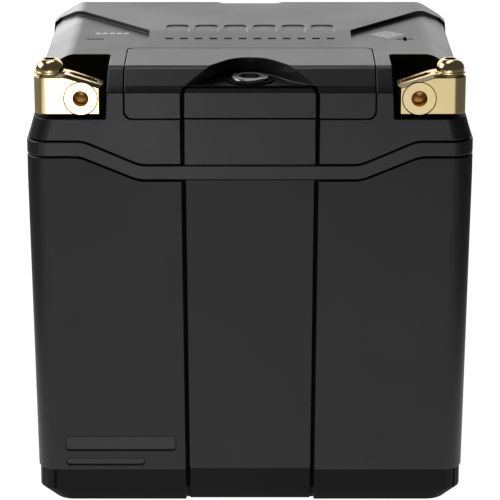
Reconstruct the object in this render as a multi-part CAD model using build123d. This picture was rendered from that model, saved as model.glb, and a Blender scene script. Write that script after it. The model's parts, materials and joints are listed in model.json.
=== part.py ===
from build123d import *
import math
import os

# Motorcycle battery, 12.8 V lithium pack in a two-part moulded case.
# Millimetres, +Z up.  The origin is the centre of the footprint on the surface the battery
# stands on.  The front, with both terminals, faces -Y, and the negative terminal is at -X.

# ---- overall size ----------------------------------------------------------
LENGTH = 166.0
WIDTH = 126.0
HALF_X = LENGTH / 2
HALF_Y = WIDTH / 2
FRONT = -HALF_Y
CORNER_R = 8.0

# ---- case tub --------------------------------------------------------------
DRAFT = 1.4                # how far the walls lean in from the belt to the base step
BASE_STEP_Z = 14.6
BASE_STEP = 0.5
FOOT_BEVEL_IN = 5.5
FOOT_BEVEL_UP = 6.5
CAVITY_X = 79.0
CAVITY_Y = 58.2
CAVITY_R = 5.0
FLOOR_Z = 5.0
CAVITY_BEVEL = 3.0
BELT_GROOVE = 0.6

# ---- parting line between tub and lid, and the belt under it ----------------
RIM_Z = 145.1
RIM_DIP_Z = 136.1
RIM_BEND_OUT = 61.6
RIM_BEND_IN = 40.8
BELT_Z = 139.7
BELT_DIP_Z = 130.8
BELT_BEND_OUT = 63.0
BELT_BEND_IN = 41.4
BEND_R = 12.0
REVEAL_H = 0.6
REVEAL_DEPTH = 0.8

# ---- centre tongue on front and back ---------------------------------------
TONGUE_TOP = 24.0
TONGUE_FOOT = 23.2
TONGUE_DEPTH = 1.4
LID_TONGUE = 24.3
LID_TONGUE_DEPTH = 0.8
TONGUE_CORNER_R = 3.5
GROOVE_W = 1.4
GROOVE_EXTRA = 1.0

# ---- lid -------------------------------------------------------------------
LID_FOOT_X = 82.6
LID_WALL_X = 79.7
LID_WALL_TOP_X = 77.9
FLARE_TOP_Z = 155.5
LID_TOP = 172.2
FACET_IN_X = 68.3
FACET_OUT_X = 78.2
FACET_OUT_Z = 165.9
BAND_Z = 163.8
CREASE_Z = 166.0
CREASE_IN = 1.8
BEVEL_IN = 8.0
FACET_EASE_R = 9.0
BEVEL_EASE_R = 4.0
LID_WALL = 3.0
CAP_RISE = 1.7
CAP_OUT = 1.1
MARK_DEPTH = 0.4
BAR_W = 9.0
BAR_STEP = 11.3
BARS_FROM = 58.0
BARS_TO = 72.0
DASH_W = 2.8
DASH_FROM = 50.0
DASH_TO = 51.6
LIP_X = 78.8
LIP_Y = 58.0
LIP_WALL = 2.0
LIP_FOOT_Z = 126.0
LIP_TOP_Z = 148.0
SEAL_Z = 129.0
SEAL_H = 2.0
SEAL_GROOVE = 1.0

# ---- raised rear cap, plan points for one side (x, distance from the front) --
CAP_TIP = (39.0, 62.0)
CAP_CORNER = (68.6, 100.3)
CAP_FLANK = (77.6, 115.0)
CAP_SIDE = (86.0, 98.0)
RAMP_START = 40.0
CAP_TIP_R = 3.5
REAR_NOTCH_OUT = 14.8
REAR_NOTCH_IN = 10.6
REAR_NOTCH_DEPTH = 4.0

# ---- terminal pockets ------------------------------------------------------
POCKET_X_FLOOR = 53.2
POCKET_X_TOP = 52.0
POCKET_BACK = 27.3
POCKET_Z = 153.8
POCKET_R = 2.0
POCKET_WALL = 2.5

# ---- front trim plate ------------------------------------------------------
TRIM_HALF_X = 46.2
TRIM_BACK = 37.7
TRIM_FOOT_Z = 154.1
TRIM_T = 3.2
TRIM_R = 3.0
TRIM_GAP = 0.4
NOTCH_R = 11.0
NOTCH_Y = 10.9
NOTCH_TURN = (15.7, 7.4)
NOTCH_MOUTH = (24.3, 1.6)
NOTCH_FLOOR = 166.05
CUP_WALL = 2.0
CUP_FLOOR = 161.4
CUP_SCREW_Y = 10.9
COUNTERBORE_R = 5.7
COUNTERBORE_Z = 163.6

# ---- cap screw of the trim plate -------------------------------------------
CAP_FLANGE_R = 7.2
CAP_FLANGE_T = 1.1
CAP_EDGE_R = 0.9
CAP_BODY_R = 5.4
CAP_WASHER_R = 9.0
CAP_WASHER_T = 0.65
CAP_SHANK_R = 3.0
CAP_SHANK_L = 11.2
CAP_HEX = 8.0
INSERT_R = 5.0
INSERT_L = 9.0

# ---- terminals -------------------------------------------------------------
BLOCK_IN_X = 54.2
BLOCK_OUT_X = 79.7
BLOCK_FRONT = 2.0
BLOCK_BACK = 11.9
BLOCK_FOOT_Z = 155.3
BLOCK_TOP_Z = 170.1
BLOCK_LOW_Z = 165.8
BLOCK_BEND_X = 67.8
BLOCK_BEND_R = 9.0
BLOCK_CORNER_R = 4.5
BLOCK_EDGE = 1.2
BLOCK_INNER_EDGE = 1.5
BORE_X = 62.4
BORE_Z = 161.1
BORE_R = 2.95
BORE_DEPTH = 7.0
BORE_POINT = 1.8
NUT_R = 6.05
NUT_SEAT_R = 6.3
NUT_L = 4.0
SLOT_X = 61.2
SLOT_Y = 7.6
SLOT_L = 11.3
SLOT_W = 4.4
SLOT_DEPTH = 3.5
TAB_X = (58.0, 74.0)
TAB_BACK = 25.2
TAB_T = 3.0
STUD_X = 66.0
STUD_Y = 18.5
STUD_R = 4.0
STUD_END_Z = 139.0
STUD_HOLE_R = 4.3
SEAL_RING_R = 7.5

# ---- terminal screws (M6 with a high domed head and a loose thin washer) ----
SCREW_X = 73.9
SCREW_Y = 7.6
SCREW_R = 3.0
SCREW_FIT = 0.05
SCREW_HEAD_R = 5.2
SCREW_HEAD_H = 4.4
SCREW_HEX = 4.0
SCREW_L = 12.0
WASHER_R = 5.8
WASHER_T = 0.5

# ---- cells and their holders -----------------------------------------------
CELL_R = 16.1
CELL_H = 70.5
CELL_PITCH = 34.0
CELL_COLUMNS = 4
CELL_ROWS = 2
PACK_Z = 26.0
HOLDER_T = 10.0
HOLDER_WEB = 2.0
HOLDER_X = 70.0
HOLDER_Y = 36.0
SOCKET_R = 16.35
WINDOW_R = 10.0
PLATE_T = 1.0
TAB_SIZE = 7.0
BUTTON_R = 6.0
LOWER_PLATE_Z = PACK_Z - PLATE_T
CELL_Z = PACK_Z + HOLDER_WEB
CELL_TOP = CELL_Z + CELL_H
UPPER_Z = CELL_TOP + HOLDER_WEB - HOLDER_T
UPPER_PLATE_Z = CELL_TOP + HOLDER_WEB

# ---- battery management board ----------------------------------------------
BOARD_Z = 112.0
BOARD_T = 1.6
BOARD_X = (-70.0, 45.0)
BOARD_Y = (-20.0, 34.0)
POST_R = 4.0
POST_PLACES = ((-34.0, -14.0), (-34.0, 14.0), (34.0, -14.0), (34.0, 14.0))
BOARD_SCREW_R = 1.5
CHIP = (10.0, 9.0, 4.0)
CHIP_PITCH = 13.0
CHIP_COUNT = 4
SPREADER_T = 3.0
PLUG_X = (-14.0, 14.0)
PLUG_Y = (26.0, 33.0)
PLUG_H = 6.0
LEAD_R = 0.6
LEAD_PITCH = 5.0
LEAD_RUN_Y = 42.0
LEAD_BEND = 2.5
STRAP_T = 1.5
STRAP_W = 14.0
STRAP_DROP_Y = -24.0

# ---- foam ------------------------------------------------------------------
FOAM_GAP = 0.3
FOAM_FOOT_Z = 8.2
WIRE_SPACE_Y = 44.0


def depth(distance):
    """Y position of a point given as its distance behind the front face."""
    return FRONT + distance


def block(x0, x1, y0, y1, z0, z1):
    """Box between two opposite corners."""
    return Pos((x0 + x1) / 2, (y0 + y1) / 2, (z0 + z1) / 2) * Box(x1 - x0, y1 - y0, z1 - z0)


def disc(x, y, z0, z1, radius):
    """Upright cylinder from z0 to z1."""
    return Pos(x, y, (z0 + z1) / 2) * Cylinder(radius, z1 - z0)


def slab(half_x, half_y, radius, z0, z1):
    """Upright prism on a rounded rectangle centred on the origin."""
    outline = RectangleRounded(2 * half_x, 2 * half_y, radius)
    return extrude(Pos(0, 0, z0) * outline, z1 - z0)


def ring(half_x, half_y, radius, wall, z0, z1):
    """Rounded rectangular ring with its outer size given."""
    inner = slab(half_x - wall, half_y - wall, radius - wall, z0 - 1, z1 + 1)
    return slab(half_x, half_y, radius, z0, z1) - inner


def tapered(half_x0, half_y0, z0, half_x1, half_y1, z1, radius):
    """Ruled body between two rounded rectangles."""
    low = Pos(0, 0, z0) * RectangleRounded(2 * half_x0, 2 * half_y0, radius)
    high = Pos(0, 0, z1) * RectangleRounded(2 * half_x1, 2 * half_y1, radius)
    return loft([low, high], ruled=True)


def across(points, half_depth):
    """Prism along Y on an X-Z outline."""
    return extrude(Plane.XZ * make_face(Polyline(*points, close=True)), half_depth, both=True)


def along(points, half_length):
    """Prism along X on a Y-Z outline."""
    return extrude(Plane.YZ * make_face(Polyline(*points, close=True)), half_length, both=True)


def upright(points, z0, z1):
    """Upright prism on a plan outline."""
    return extrude(Pos(0, 0, z0) * make_face(Polyline(*points, close=True)), z1 - z0)


def mirrored_x(points):
    """An outline made whole from its +X half, which runs from the low end to the high end."""
    return [*points, *[(-x, y) for x, y in reversed(points)]]


def both_ends(shape):
    """The shape at the front together with its mirror image at the back."""
    return shape + mirror(shape, about=Plane.XZ)


def save(name, shape):
    export_step(shape, f"parts/{name}.step")


# ---- outer forms -----------------------------------------------------------
def below_line(side_z, dip_z, bend_out, bend_in, lift=0.0):
    """Everything below the line that runs round the battery and dips at front and back."""
    reach = HALF_X + 10
    corners = [(bend_in, dip_z + lift), (bend_out, side_z + lift)]
    outline = mirrored_x([*corners, (reach, side_z + lift), (reach, -10)])
    face = make_face(Polyline(*outline, close=True))
    bends = [v for v in face.vertices() if abs(v.X) < reach - 1 and v.Y > 0]
    return extrude(Plane.XZ * fillet(bends, BEND_R), HALF_Y + 10, both=True)


def below_rim(lift=0.0):
    return below_line(RIM_Z, RIM_DIP_Z, RIM_BEND_OUT, RIM_BEND_IN, lift)


def below_belt(lift=0.0):
    return below_line(BELT_Z, BELT_DIP_Z, BELT_BEND_OUT, BELT_BEND_IN, lift)


def case_form():
    """Outer form of the tub: bevelled foot, stepped base band, leaning walls and upright belt."""
    foot_x = HALF_X - DRAFT - BASE_STEP
    foot_y = HALF_Y - DRAFT - BASE_STEP
    bevel = tapered(foot_x - FOOT_BEVEL_IN, foot_y - FOOT_BEVEL_IN, 0,
                    foot_x, foot_y, FOOT_BEVEL_UP, CORNER_R - BASE_STEP)
    band = slab(foot_x, foot_y, CORNER_R, FOOT_BEVEL_UP, BASE_STEP_Z)
    walls = tapered(HALF_X - DRAFT, HALF_Y - DRAFT, BASE_STEP_Z, HALF_X, HALF_Y, BELT_DIP_Z, CORNER_R)
    belt = slab(HALF_X, HALF_Y, CORNER_R, BELT_DIP_Z, RIM_Z)
    return bevel + band + walls + belt


def tongue_cut(behind):
    """Space in front of the tongue, with its surface the given depth behind the case's own front."""
    front_low = depth(DRAFT + behind)
    front_foot = front_low + BASE_STEP
    head_z = BELT_DIP_Z - BELT_GROOVE
    outline = [(FRONT - 5, -1), (FRONT - 5, head_z), (depth(behind), head_z), (front_low, BASE_STEP_Z),
               (front_foot, BASE_STEP_Z), (front_foot, FOOT_BEVEL_UP), (front_foot + FOOT_BEVEL_IN, 0),
               (front_foot + FOOT_BEVEL_IN, -1)]
    return along(outline, LENGTH / 4)


def tongue_strip(inner_foot, inner_top, outer_foot, outer_top):
    """Pair of leaning upright strips, one each side of the centre."""
    right = [(inner_foot, -1), (outer_foot, -1), (outer_top, BELT_DIP_Z), (inner_top, BELT_DIP_Z)]
    left = [(-x, z) for x, z in right]
    return across(right, HALF_Y + 10) + across(left, HALF_Y + 10)


def front_bars():
    """Two shallow decorative bars low on the left of the front, following the wall's lean."""
    bars = Pos(-49.5, 0, 25.5) * Box(42, 20, 5.6) + Pos(-55.5, 0, 18.0) * Box(30, 20, 2.6)
    bars = fillet(bars.edges().filter_by(Axis.Y), 1.2)
    return Pos(0, FRONT, 0) * bars - Pos(0, MARK_DEPTH, 0) * case_form()


def case_tub():
    tongue = across([(-TONGUE_FOOT, -1), (TONGUE_FOOT, -1), (TONGUE_TOP, BELT_DIP_Z),
                     (-TONGUE_TOP, BELT_DIP_Z)], HALF_Y + 10)
    grooves = tongue_strip(TONGUE_FOOT, TONGUE_TOP, TONGUE_FOOT + GROOVE_W, TONGUE_TOP + GROOVE_W)
    recess = both_ends(tongue_cut(TONGUE_DEPTH) & tongue)
    recess += both_ends(tongue_cut(TONGUE_DEPTH + GROOVE_EXTRA) & grooves)
    groove_core = slab(HALF_X - BELT_GROOVE, HALF_Y - BELT_GROOVE, CORNER_R - BELT_GROOVE, 100, 160)
    belt_line = (below_belt() - below_belt(-BELT_GROOVE)) - groove_core
    cavity = slab(CAVITY_X, CAVITY_Y, CAVITY_R, FLOOR_Z, RIM_Z + 5)
    cavity = chamfer(cavity.faces().sort_by(Axis.Z)[0].edges(), CAVITY_BEVEL)
    return (case_form() & below_rim()) - cavity - recess - belt_line - front_bars()


def eased_tops(facets, bevels):
    """Two crossing roof prisms, the upper edges of each eased into its top."""
    facets = fillet(facets.edges().filter_by(Axis.Y).group_by(Axis.Z)[-1], FACET_EASE_R)
    bevels = fillet(bevels.edges().filter_by(Axis.X).group_by(Axis.Z)[-1], BEVEL_EASE_R)
    return facets & bevels


def lid_form():
    """Outer form of the lid without the raised rear cap."""
    skirt = slab(LID_FOOT_X, HALF_Y, CORNER_R, RIM_DIP_Z - 2, RIM_Z)
    flare = tapered(LID_FOOT_X, HALF_Y, RIM_Z, LID_WALL_X, HALF_Y, FLARE_TOP_Z, CORNER_R)
    upper = tapered(LID_WALL_X, HALF_Y, FLARE_TOP_Z, LID_WALL_TOP_X, HALF_Y, LID_TOP, CORNER_R)
    facets = mirrored_x([(HALF_X + 5, 100), (HALF_X + 5, FACET_OUT_Z), (FACET_OUT_X, FACET_OUT_Z),
                         (FACET_IN_X, LID_TOP)])
    bevels = mirrored_x([(HALF_Y, 100), (HALF_Y, BAND_Z), (HALF_Y - CREASE_IN, CREASE_Z),
                         (HALF_Y - BEVEL_IN, LID_TOP)])
    return (skirt + flare + upper) & eased_tops(across(facets, HALF_Y + 5), along(bevels, HALF_X + 5))


def cap_form():
    """Raised rear cap, a skin that stands proud of the lid's top, facets and sides, with a ramp
    up to it between the tips of its two wings."""
    top = LID_TOP + CAP_RISE
    foot_z = FLARE_TOP_Z - 5
    body = tapered(LID_WALL_X + CAP_OUT, HALF_Y, foot_z, LID_WALL_TOP_X + CAP_OUT, HALF_Y, top, CORNER_R)
    facets = mirrored_x([(HALF_X + 5, 100), (HALF_X + 5, FACET_OUT_Z + CAP_OUT / 2),
                         (FACET_OUT_X + CAP_OUT, FACET_OUT_Z + CAP_OUT / 2), (FACET_IN_X + CAP_OUT / 2, top)])
    bevels = mirrored_x([(HALF_Y, 100), (HALF_Y, BAND_Z), (HALF_Y - CREASE_IN, CREASE_Z),
                         (HALF_Y - BEVEL_IN, top)])
    body = body & eased_tops(across(facets, HALF_Y + 5), along(bevels, HALF_X + 5))
    ramp_foot = (CAP_TIP[0], RAMP_START)
    points = (ramp_foot, CAP_TIP, CAP_CORNER, CAP_FLANK, CAP_SIDE, (HALF_X + 5, WIDTH + 5))
    plan = upright(mirrored_x([(x, depth(d)) for x, d in points]), foot_z, top + 5)
    tips = [e for e in plan.edges().filter_by(Axis.Z)
            if abs(abs(e.center().X) - CAP_TIP[0]) < 0.1 and abs(e.center().Y - depth(CAP_TIP[1])) < 0.1]
    plan = fillet(tips, CAP_TIP_R)
    under_ramp = along([(depth(RAMP_START), foot_z), (depth(RAMP_START), LID_TOP), (depth(CAP_TIP[1]), top),
                        (HALF_Y + 5, top), (HALF_Y + 5, foot_z)], HALF_X + 5)
    return body & plan & under_ramp


def pocket_cut(side, grow=0.0):
    """Corner pocket for one terminal, open to the front, the side and the top."""
    outline = [(side * (POCKET_X_FLOOR - grow), POCKET_Z - grow), (side * (POCKET_X_TOP - grow), LID_TOP + 5),
               (side * (HALF_X + 10), LID_TOP + 5), (side * (HALF_X + 10), POCKET_Z - grow)]
    bounds = block(-HALF_X - 10, HALF_X + 10, FRONT - 5, depth(POCKET_BACK + grow), 100, LID_TOP + 10)
    cut = across(outline, HALF_Y + 10) & bounds
    corners = [e for e in cut.edges() if e.bounding_box().size.Z > 10
               and e.center().Y > depth(POCKET_BACK) - 1 and abs(e.center().X) < POCKET_X_FLOOR + 1]
    return fillet(corners, POCKET_R)


def notch_outline(grow=0.0):
    """Plan outline of the screw notch: a round back, two slanting sides and a wider mouth."""
    radius = NOTCH_R + grow
    turn_x = NOTCH_TURN[0] + grow
    mouth_x = NOTCH_MOUTH[0] + grow
    span = math.hypot(turn_x, NOTCH_TURN[1] - NOTCH_Y)
    angle = math.atan2(NOTCH_TURN[1] - NOTCH_Y, turn_x) + math.acos(radius / span)
    touch = (radius * math.cos(angle), depth(NOTCH_Y + radius * math.sin(angle)))
    right = [(mouth_x, FRONT - 5), (mouth_x, depth(NOTCH_MOUTH[1])), (turn_x, depth(NOTCH_TURN[1])), touch]
    left = [(-x, y) for x, y in right]
    sides = [Polyline(*right), Polyline(*left), Line(right[0], left[0])]
    back = ThreePointArc(touch, (0, depth(NOTCH_Y + radius)), left[-1])
    return make_face([*sides, back])


def notch_prism(grow, z0, z1):
    return extrude(Pos(0, 0, z0) * notch_outline(grow), z1 - z0)


def trim_zone(gap, thickness):
    """Space of the trim plate: a shell of even thickness over the lid's front edge, and the cup
    under the screw notch."""
    half_x = TRIM_HALF_X + gap
    shell = block(-half_x, half_x, FRONT - 5, depth(TRIM_BACK) + gap, TRIM_FOOT_Z - gap, LID_TOP + 5)
    plan_corners = shell.edges().filter_by(Axis.Z).group_by(Axis.Y)[-1]
    shell = fillet(plan_corners, TRIM_R)
    front_corners = shell.edges().filter_by(Axis.Y).group_by(Axis.Z)[0]
    shell = fillet(front_corners, TRIM_R)
    slope = (LID_TOP - CREASE_Z) / (BEVEL_IN - CREASE_IN)
    drop = thickness * math.hypot(1, slope)
    shoulder = (depth(thickness), CREASE_Z + slope * (thickness - CREASE_IN) - drop)
    brow = (depth(CREASE_IN + (LID_TOP - thickness - CREASE_Z + drop) / slope), LID_TOP - thickness)
    core = along([(shoulder[0], 100), shoulder, brow, (HALF_Y, brow[1]), (HALF_Y, 100)], HALF_X)
    cup = notch_prism(CUP_WALL + gap, CUP_FLOOR - gap, LID_TOP - 1)
    return (shell - core) + cup


def arched(half_x, top, radius):
    """Upright strip round the centre with rounded upper corners."""
    low = RIM_DIP_Z - 3
    strip = block(-half_x, half_x, -HALF_Y - 5, HALF_Y + 5, low, top)
    corners = strip.edges().filter_by(Axis.Y).group_by(Axis.Z)[-1]
    return fillet(corners, radius)


def lid_tongue_cut():
    """Recess of the tongue, which leans back at the top, with a deeper groove along each side."""
    low = RIM_DIP_Z - 3
    strips = []
    for behind in (LID_TONGUE_DEPTH, LID_TONGUE_DEPTH + GROOVE_EXTRA):
        outline = [(FRONT - 5, low), (depth(behind), low), (depth(behind), BAND_Z),
                   (depth(behind + CREASE_IN), CREASE_Z), (FRONT - 5, CREASE_Z)]
        strips.append(along(outline, LENGTH / 4))
    face, deep = strips
    tongue = arched(LID_TONGUE, CREASE_Z, TONGUE_CORNER_R)
    grooves = arched(LID_TONGUE + GROOVE_W, CREASE_Z + GROOVE_W, TONGUE_CORNER_R + GROOVE_W) - tongue
    return (face & tongue) + (deep & grooves)


def rear_notch():
    """Shallow finger scoop in the back edge of the top."""
    back = HALF_Y - BEVEL_IN
    points = mirrored_x([(REAR_NOTCH_OUT, HALF_Y + 5), (REAR_NOTCH_OUT, back),
                         (REAR_NOTCH_IN, back - REAR_NOTCH_DEPTH)])
    return upright(points, CREASE_Z, LID_TOP + 5)


def polarity_marks():
    """Sunk minus beside the negative terminal and sunk plus beside the positive one."""
    long_bar, short_bar, deep = 6.6, 1.3, 0.6
    mark_x, mark_y = 59.8, depth(53.5)
    z = LID_TOP - deep
    minus = Pos(-mark_x, mark_y, z) * Box(long_bar, short_bar, 2 * deep)
    plus = Pos(mark_x, mark_y, z) * (Box(long_bar, short_bar, 2 * deep) + Box(short_bar, long_bar, 2 * deep))
    return minus + plus


def top_bars(form):
    """Shallow decorative row on the top: six rounded bars and a line of short dashes before them."""
    bars = []
    for index in range(6):
        x = (index - 2.5) * BAR_STEP
        bar = block(x - BAR_W / 2, x + BAR_W / 2, depth(BARS_FROM), depth(BARS_TO), CREASE_Z, LID_TOP + 9)
        bars.append(fillet(bar.edges().filter_by(Axis.Z), BAR_W / 3))
        for half in (-1, 1):
            dash_x = x + half * BAR_STEP / 4
            bars.append(block(dash_x - DASH_W / 2, dash_x + DASH_W / 2, depth(DASH_FROM), depth(DASH_TO),
                              CREASE_Z, LID_TOP + 9))
    return sum(bars[1:], bars[0]) - Pos(0, 0, -MARK_DEPTH) * form


def lid_void():
    """Inside of the lid, kept clear of the pockets, the trim recess and the screw boss."""
    void = slab(LIP_X - LIP_WALL, LIP_Y - LIP_WALL, LIP_WALL, LIP_FOOT_Z - 1, LID_TOP - LID_WALL)
    facet_low = FACET_OUT_Z - 1.3 * LID_WALL
    facets = mirrored_x([(HALF_X, 100), (HALF_X, facet_low), (FACET_OUT_X - LID_WALL, facet_low),
                         (FACET_IN_X - 1, LID_TOP - LID_WALL)])
    void = void & across(facets, HALF_Y)
    void -= block(-HALF_X, HALF_X, HALF_Y - 10, HALF_Y, CREASE_Z - 6, LID_TOP)
    void -= block(-HALF_X, HALF_X, FRONT, FRONT + 10, CREASE_Z - 6, LID_TOP)
    void -= block(-REAR_NOTCH_OUT - 4, REAR_NOTCH_OUT + 4, 40, HALF_Y, CREASE_Z - 6, LID_TOP)
    for side in (-1, 1):
        void -= pocket_cut(side, POCKET_WALL)
    void -= trim_zone(TRIM_GAP + POCKET_WALL, TRIM_T + POCKET_WALL)
    boss_foot = CUP_FLOOR - INSERT_L - 5
    void -= disc(0, depth(CUP_SCREW_Y), boss_foot, LID_TOP, INSERT_R + 3)
    return void


def lid_cover():
    form = lid_form() + cap_form()
    above_rim = form - below_rim()
    reveal = below_rim(REVEAL_H) - slab(LID_FOOT_X - REVEAL_DEPTH, HALF_Y - REVEAL_DEPTH, CORNER_R, 100, 160)
    above_rim -= reveal
    lip = slab(LIP_X, LIP_Y, CAVITY_R, LIP_FOOT_Z, LIP_TOP_Z)
    lip -= ring(LIP_X + 1, LIP_Y + 1, CAVITY_R + 1, SEAL_GROOVE + 1, SEAL_Z, SEAL_Z + SEAL_H)
    lid = above_rim + lip - lid_void()
    for side in (-1, 1):
        lid -= pocket_cut(side)
        lid -= disc(side * STUD_X, depth(STUD_Y), POCKET_Z - 10, POCKET_Z + 1, STUD_HOLE_R)
    lid -= trim_zone(TRIM_GAP, TRIM_T + TRIM_GAP)
    lid -= both_ends(lid_tongue_cut()) + rear_notch() + polarity_marks()
    lid -= top_bars(form)
    insert_z = CUP_FLOOR - TRIM_GAP
    lid -= disc(0, depth(CUP_SCREW_Y), insert_z - INSERT_L, insert_z + 1, INSERT_R)
    lid -= disc(0, depth(CUP_SCREW_Y), insert_z - INSERT_L - 4, insert_z, CAP_SHANK_R + 0.5)
    return lid


def lid_seal():
    """Square-section seal between the lid's lip and the inside of the tub."""
    gap = 0.05
    return ring(CAVITY_X - gap, CAVITY_Y - gap, CAVITY_R, CAVITY_X - LIP_X + SEAL_GROOVE - 2 * gap,
                SEAL_Z + gap, SEAL_Z + SEAL_H - gap)


# ---- trim plate and its screw ----------------------------------------------
def front_trim_plate():
    plate = lid_form() & trim_zone(0, TRIM_T)
    plate -= notch_prism(0, NOTCH_FLOOR, LID_TOP + 5)
    plate -= lid_tongue_cut()
    plate -= disc(0, depth(CUP_SCREW_Y), COUNTERBORE_Z, LID_TOP, COUNTERBORE_R)
    plate -= disc(0, depth(CUP_SCREW_Y), CUP_FLOOR - 1, LID_TOP, CAP_SHANK_R + 0.4)
    return plate


def hex_socket(across_flats, z0, z1):
    """Hexagonal prism, used as a key socket."""
    return extrude(Pos(0, 0, z0) * RegularPolygon(across_flats / math.sqrt(3), 6), z1 - z0)


def trim_screw_washer():
    z = NOTCH_FLOOR
    washer = disc(0, 0, z, z + CAP_WASHER_T, CAP_WASHER_R)
    washer = fillet(washer.edges().group_by(Axis.Z)[-1], CAP_WASHER_T / 3)
    washer -= disc(0, 0, z - 1, z + 2, CAP_BODY_R + SCREW_FIT)
    return Pos(0, depth(CUP_SCREW_Y), 0) * washer


def trim_plate_screw():
    """Cap screw: a round-edged flange over the washer, a socket body sunk in the plate, a shank."""
    flange_z = NOTCH_FLOOR + CAP_WASHER_T
    body_z = COUNTERBORE_Z + SCREW_FIT
    flange = disc(0, 0, flange_z, flange_z + CAP_FLANGE_T, CAP_FLANGE_R)
    flange = fillet(flange.edges().group_by(Axis.Z)[-1], CAP_EDGE_R)
    head = flange + disc(0, 0, body_z, flange_z + CAP_FLANGE_T / 2, CAP_BODY_R)
    head -= hex_socket(CAP_HEX, body_z + 0.5, flange_z + CAP_FLANGE_T + 1)
    shank = disc(0, 0, body_z - CAP_SHANK_L, body_z, CAP_SHANK_R)
    return Pos(0, depth(CUP_SCREW_Y), 0) * (head + shank)


def trim_screw_insert():
    top = CUP_FLOOR - TRIM_GAP
    sleeve = disc(0, 0, top - INSERT_L + 0.1, top, INSERT_R - 0.05)
    sleeve -= disc(0, 0, top - INSERT_L - 1, top + 1, CAP_SHANK_R + SCREW_FIT)
    return Pos(0, depth(CUP_SCREW_Y), 0) * sleeve


# ---- terminals, drawn at +X and mirrored for the negative side ---------------
def terminal():
    """Brass block with a sloping top, a rear tab and a stud down into the battery."""
    face = make_face(Polyline((BLOCK_IN_X, BLOCK_FOOT_Z), (BLOCK_OUT_X, BLOCK_FOOT_Z),
                              (BLOCK_OUT_X, BLOCK_TOP_Z), (BLOCK_BEND_X, BLOCK_TOP_Z),
                              (BLOCK_IN_X, BLOCK_LOW_Z), close=True))
    bend = [v for v in face.vertices() if abs(v.X - BLOCK_BEND_X) < 0.1]
    face = fillet(bend, BLOCK_BEND_R)
    body = extrude(Plane.XZ.offset(-depth(BLOCK_BACK)) * face, BLOCK_BACK - BLOCK_FRONT)
    corner = body.edges().filter_by(Axis.Z).filter_by(
        lambda e: e.center().X > BLOCK_OUT_X - 0.1 and e.center().Y < depth(BLOCK_FRONT) + 0.1)
    body = fillet(corner, BLOCK_CORNER_R)
    rim = [e for e in body.edges() if e.center().Z > BLOCK_LOW_Z - 0.1 and e.center().Y < depth(7.0)
           and e.center().X < BLOCK_OUT_X - 0.1 and e.bounding_box().size.Z < 5
           and e.bounding_box().size.X > 3]
    body = chamfer(rim, BLOCK_EDGE)
    inner = [e for e in body.edges().filter_by(Axis.Z)
             if e.center().X < BLOCK_IN_X + 0.1 and e.center().Y < depth(BLOCK_FRONT) + 0.1]
    body = chamfer(inner, BLOCK_INNER_EDGE)
    tab = block(*TAB_X, depth(BLOCK_BACK) - 1, depth(TAB_BACK), BLOCK_FOOT_Z, BLOCK_FOOT_Z + TAB_T)
    stud = disc(STUD_X, depth(STUD_Y), STUD_END_Z, BLOCK_FOOT_Z + 1, STUD_R)
    body += tab + stud
    front_y = depth(BLOCK_FRONT)
    nut_seat = Pos(BORE_X, front_y, BORE_Z) * Rot(90, 0, 0) * Cylinder(NUT_SEAT_R, 2 * NUT_L)
    profile = make_face(Polyline((0, 1), (BORE_R + 0.2, 1), (BORE_R + 0.2, -BORE_DEPTH),
                                 (0, -BORE_DEPTH - BORE_POINT), close=True))
    bore = Pos(BORE_X, front_y, BORE_Z) * Rot(90, 0, 0) * revolve(Plane.XZ * profile, Axis.Z)
    body -= nut_seat + bore
    tilt = math.degrees(math.atan2(BLOCK_TOP_Z - BLOCK_LOW_Z, BLOCK_BEND_X - BLOCK_IN_X))
    slot_z = BLOCK_LOW_Z + (SLOT_X - BLOCK_IN_X) * math.tan(math.radians(tilt))
    slot = extrude(SlotOverall(SLOT_L, SLOT_W), SLOT_DEPTH, both=True)
    body -= Pos(SLOT_X, depth(SLOT_Y), slot_z) * Rot(0, -tilt, 0) * slot
    body -= disc(SCREW_X, depth(SCREW_Y), BLOCK_TOP_Z - SCREW_L - 0.5, BLOCK_TOP_Z + 1, SCREW_R + SCREW_FIT)
    return body


def terminal_nut():
    nut = Rot(90, 0, 0) * (Cylinder(NUT_R, NUT_L) - Cylinder(BORE_R, NUT_L + 2))
    return Pos(BORE_X, depth(BLOCK_FRONT) + NUT_L / 2, BORE_Z) * nut


def terminal_seal():
    seat = disc(STUD_X, depth(STUD_Y), POCKET_Z, BLOCK_FOOT_Z, SEAL_RING_R)
    seat &= block(*TAB_X, FRONT, depth(TAB_BACK), 100, 200)
    return seat - disc(STUD_X, depth(STUD_Y), 100, 200, STUD_R + 0.2)


def terminal_washer():
    z = BLOCK_TOP_Z
    return disc(SCREW_X, depth(SCREW_Y), z, z + WASHER_T, WASHER_R) - disc(
        SCREW_X, depth(SCREW_Y), z - 1, z + 2, SCREW_R + SCREW_FIT)


def terminal_screw():
    """Domed head with a key socket, and a plain shank at the thread's outer size."""
    z = BLOCK_TOP_Z + WASHER_T
    crown_r = SCREW_HEX / 2 + 0.9
    rim_z = z + 0.8
    dome = ThreePointArc((SCREW_HEAD_R, rim_z), (4.5, z + 3.0), (crown_r, z + SCREW_HEAD_H))
    profile = make_face([
        Polyline((0, z + SCREW_HEAD_H), (0, z - SCREW_L), (SCREW_R, z - SCREW_L), (SCREW_R, z),
                 (SCREW_HEAD_R, z), (SCREW_HEAD_R, rim_z)),
        dome,
        Line((crown_r, z + SCREW_HEAD_H), (0, z + SCREW_HEAD_H))])
    screw = revolve(Plane.XZ * profile, Axis.Z)
    screw -= hex_socket(SCREW_HEX, z + SCREW_HEAD_H - 2, z + SCREW_HEAD_H + 1)
    return Pos(SCREW_X, depth(SCREW_Y), 0) * screw


def stud_underside():
    """Height of the lid's pocket floor seen from inside."""
    return POCKET_Z - POCKET_WALL


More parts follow.
